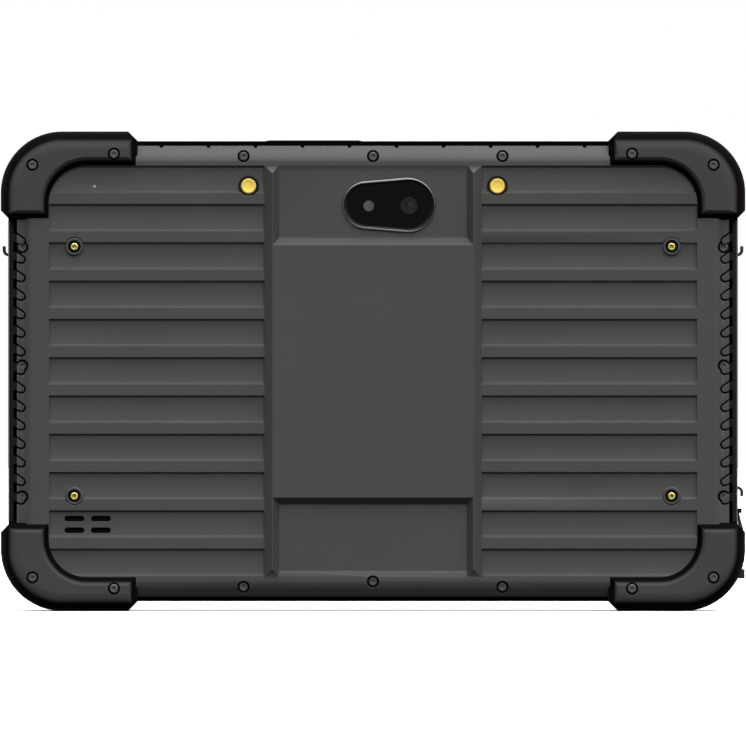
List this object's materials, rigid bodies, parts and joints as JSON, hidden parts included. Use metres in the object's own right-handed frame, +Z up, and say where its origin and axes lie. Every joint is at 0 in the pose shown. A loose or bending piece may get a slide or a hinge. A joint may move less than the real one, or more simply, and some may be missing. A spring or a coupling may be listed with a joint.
{
  "type": "rugged field data collector",
  "caption": "Rugged tablet-style field data collector with rubber corner bumpers, ribbed rear cover with raised column, camera window, threaded mount inserts, hinged port covers and edge keys",
  "frame": {"origin": "middle of the footprint, on the plane that the lower bumpers stand on", "axes": "+X along the long edge, to the right when the back is faced; +Y out of the screen; +Z up"},
  "size_m": [0.236, 0.023, 0.152],
  "materials": {
    "cover_plastic": "fine-grained moulding",
    "frame_plastic": "satin",
    "bumper_rubber": "soft-touch overmould",
    "grip_rubber": "matte",
    "cover_rubber": "matte",
    "seal_rubber": "matte",
    "key_plastic": "satin",
    "screw_steel": "black oxide",
    "brass": "turned",
    "gilt": "gold plated",
    "bezel_metal": "anodised dark grey",
    "camera_pane": "dark tinted",
    "lens_black": "gloss",
    "flash_lens": "dimpled",
    "front_pane": "black, anti-glare",
    "panel_metal": "stamped",
    "plate_metal": "die cast magnesium alloy",
    "board": "solder mask",
    "can_metal": "tinned",
    "cell_wrap": "wrapped",
    "foam": "adhesive foam",
    "mesh": "woven mesh",
    "ceramic": "ceramic",
    "port_metal": "nickel plated",
    "port_plastic": "satin",
    "light_pipe": "clear moulded"
  },
  "bodies": {
    "tablet": {"rear_cover": "cover_plastic", "front_frame": "frame_plastic", "body_seal": "seal_rubber", "mid_plate": "plate_metal", "cover_glass": "front_pane", "glass_adhesive": "foam", "display_panel": "panel_metal", "front_camera": "lens_black", "status_lights": "light_pipe", "bumper_top_left": "bumper_rubber", "bumper_top_right": "bumper_rubber", "bumper_bottom_left": "bumper_rubber", "bumper_bottom_right": "bumper_rubber", "cover_screws": "screw_steel", "bumper_screws": "screw_steel", "mount_inserts": "brass", "contact_rings": "seal_rubber", "contact_discs": "gilt", "camera_bezel": "bezel_metal", "camera_glass": "camera_pane", "camera_module": "port_plastic", "camera_lens": "lens_black", "camera_flash": "flash_lens", "speaker": "port_plastic", "speaker_mesh": "mesh", "microphone": "can_metal", "grip_rail_left": "grip_rubber", "grip_rail_right": "grip_rubber", "main_board": "board", "shield_cans": "can_metal", "io_board": "board", "battery_pack": "cell_wrap", "vibration_motor": "can_metal", "gps_antenna": "ceramic", "card_slot": "port_metal", "usb_c_port": "port_metal", "hdmi_port": "port_metal", "usb_a_port": "port_metal", "dc_jack": "port_plastic", "key_strip": "cover_rubber", "key_switches": "can_metal", "key_board": "board", "dock_connector": "port_plastic", "dock_pins": "gilt"},
    "power_key": {"power_key": "key_plastic"},
    "volume_up_key": {"volume_up_key": "key_plastic"},
    "volume_down_key": {"volume_down_key": "key_plastic"},
    "card_cover": {"card_cover": "cover_rubber"},
    "usb_cover": {"usb_cover": "cover_rubber"},
    "host_cover": {"host_cover": "cover_rubber"},
    "dc_cover": {"dc_cover": "cover_rubber"}
  },
  "joints": [
    {"name": "power_key_press", "type": "slide", "parent": "tablet", "child": "power_key", "axis": [0, 0, -1], "range_m": [0, 0.0004], "stiffness_N_per_m": 3000},
    {"name": "volume_up_key_press", "type": "slide", "parent": "tablet", "child": "volume_up_key", "axis": [0, 0, -1], "range_m": [0, 0.0004], "stiffness_N_per_m": 3000},
    {"name": "volume_down_key_press", "type": "slide", "parent": "tablet", "child": "volume_down_key", "axis": [0, 0, -1], "range_m": [0, 0.0004], "stiffness_N_per_m": 3000},
    {"name": "card_cover_hinge", "type": "hinge", "parent": "tablet", "child": "card_cover", "pos_m": [-0.11495, 0.0037, 0.087], "axis": [0, -1, 0], "range_deg": [0, 95]},
    {"name": "usb_cover_hinge", "type": "hinge", "parent": "tablet", "child": "usb_cover", "pos_m": [0.11495, 0.0037, 0.087], "axis": [0, 1, 0], "range_deg": [0, 95]},
    {"name": "host_cover_hinge", "type": "hinge", "parent": "tablet", "child": "host_cover", "pos_m": [0.11495, 0.0037, 0.065], "axis": [0, -1, 0], "range_deg": [0, 95]},
    {"name": "dc_cover_hinge", "type": "hinge", "parent": "tablet", "child": "dc_cover", "pos_m": [0.1163, 0.0034, 0.0317], "axis": [0, -1, 0], "range_deg": [0, 95]}
  ]
}
